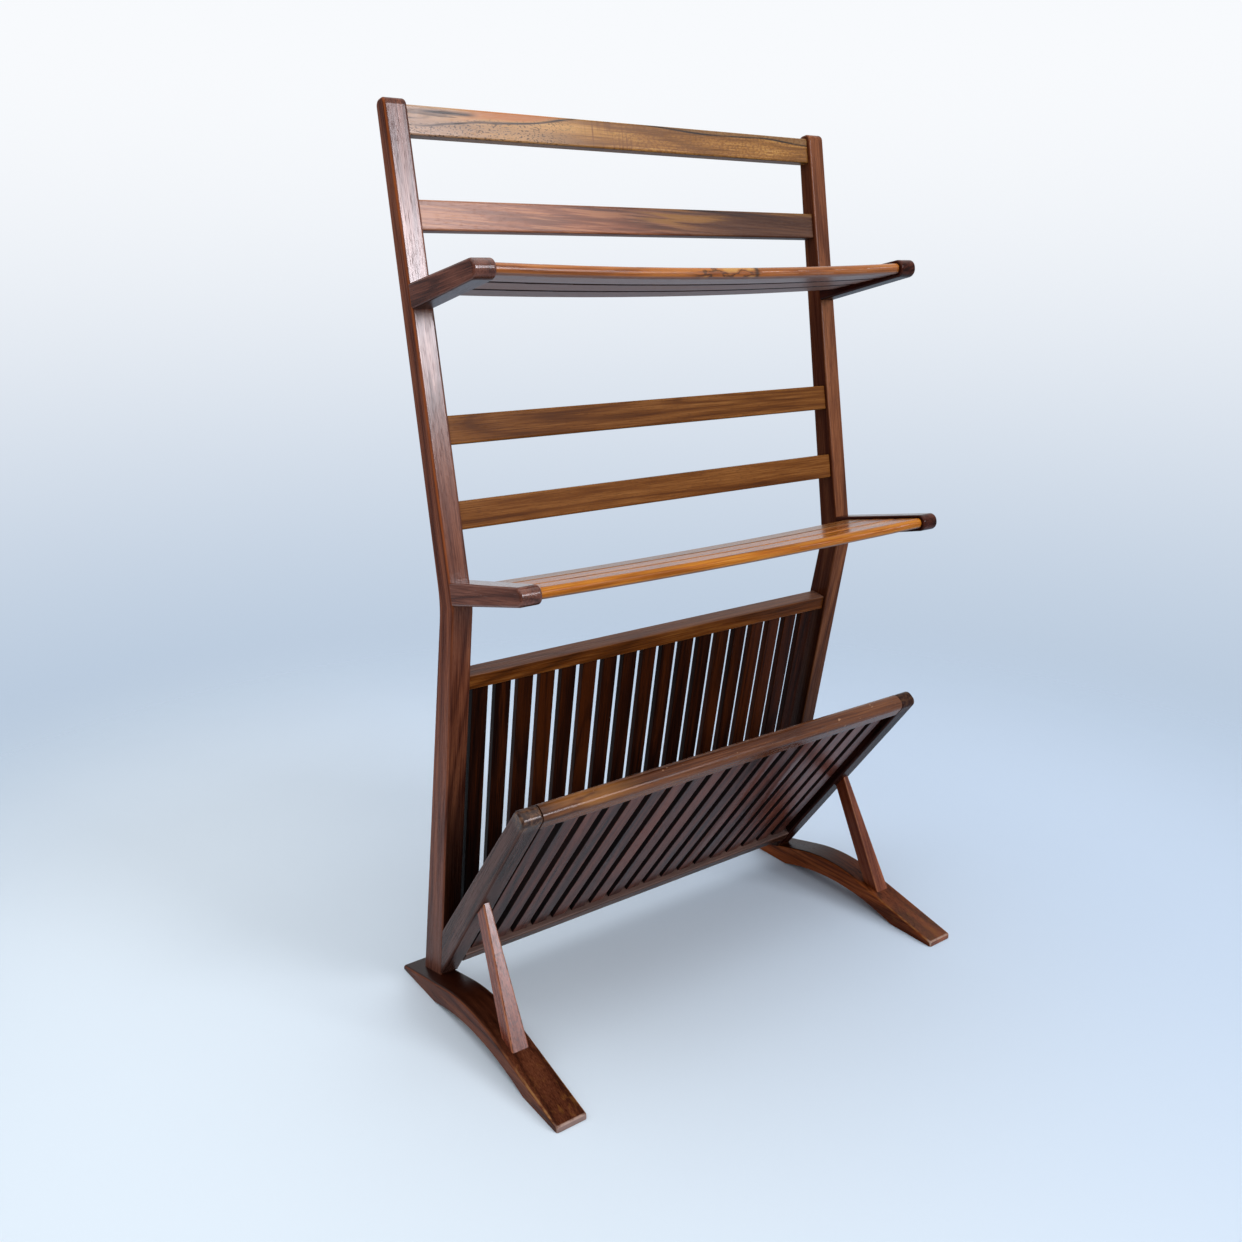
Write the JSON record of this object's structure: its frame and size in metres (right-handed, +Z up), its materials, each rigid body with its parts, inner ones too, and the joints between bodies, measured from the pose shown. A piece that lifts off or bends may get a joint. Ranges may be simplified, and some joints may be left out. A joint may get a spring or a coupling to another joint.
{
  "type": "bookshelf with magazine rack",
  "caption": "Free-standing wooden bookshelf with bent posts on arched feet, slatted shelves on arms, back rails and a V-shaped slatted magazine rack below.",
  "frame": {"origin": "on the floor, in the middle of the ground that the two feet cover", "axes": "+Z up, +Y to the back, +X to the right of someone who faces the shelves"},
  "size_m": [0.615, 0.356, 0.9886],
  "materials": {
    "frame_wood": "satin oiled dark hardwood",
    "back_rail_wood": "satin oiled hardwood with dark grain",
    "shelf_wood": "satin oiled hardwood, orange-brown",
    "rack_rail_wood": "satin oiled hardwood, golden brown",
    "rack_slat_wood": "satin oiled dark hardwood",
    "dowel_wood": "plain beech",
    "screw_steel": "plain steel"
  },
  "bodies": {
    "root": {"arm_dowels": "dowel_wood", "foot_screws": "screw_steel", "fourth_back_rail": "back_rail_wood", "left_foot": "frame_wood", "left_post": "frame_wood", "left_rack_front_stile": "frame_wood", "left_strut": "frame_wood", "lower_shelf_front_slat": "shelf_wood", "lower_shelf_left_arm": "frame_wood", "lower_shelf_middle_slat": "shelf_wood", "lower_shelf_rear_slat": "shelf_wood", "lower_shelf_right_arm": "frame_wood", "rack_back_bottom_rail": "rack_rail_wood", "rack_back_slats_01": "rack_slat_wood", "rack_back_slats_02": "rack_slat_wood", "rack_back_slats_03": "rack_slat_wood", "rack_back_slats_04": "rack_slat_wood", "rack_back_slats_05": "rack_slat_wood", "rack_back_slats_06": "rack_slat_wood", "rack_back_slats_07": "rack_slat_wood", "rack_back_slats_08": "rack_slat_wood", "rack_back_slats_09": "rack_slat_wood", "rack_back_top_rail": "rack_rail_wood", "rack_front_bottom_rail": "rack_rail_wood", "rack_front_slats_01": "rack_slat_wood", "rack_front_slats_02": "rack_slat_wood", "rack_front_slats_03": "rack_slat_wood", "rack_front_slats_04": "rack_slat_wood", "rack_front_slats_05": "rack_slat_wood", "rack_front_slats_06": "rack_slat_wood", "rack_front_slats_07": "rack_slat_wood", "rack_front_slats_08": "rack_slat_wood", "rack_front_slats_09": "rack_slat_wood", "rack_front_top_rail": "rack_rail_wood", "right_foot": "frame_wood", "right_post": "frame_wood", "right_rack_front_stile": "frame_wood", "right_strut": "frame_wood", "second_back_rail": "back_rail_wood", "stile_dowels": "dowel_wood", "strut_dowels": "dowel_wood", "third_back_rail": "back_rail_wood", "top_back_rail": "back_rail_wood", "upper_shelf_front_slat": "shelf_wood", "upper_shelf_left_arm": "frame_wood", "upper_shelf_middle_slat": "shelf_wood", "upper_shelf_rear_slat": "shelf_wood", "upper_shelf_right_arm": "frame_wood"}
  },
  "joints": []
}
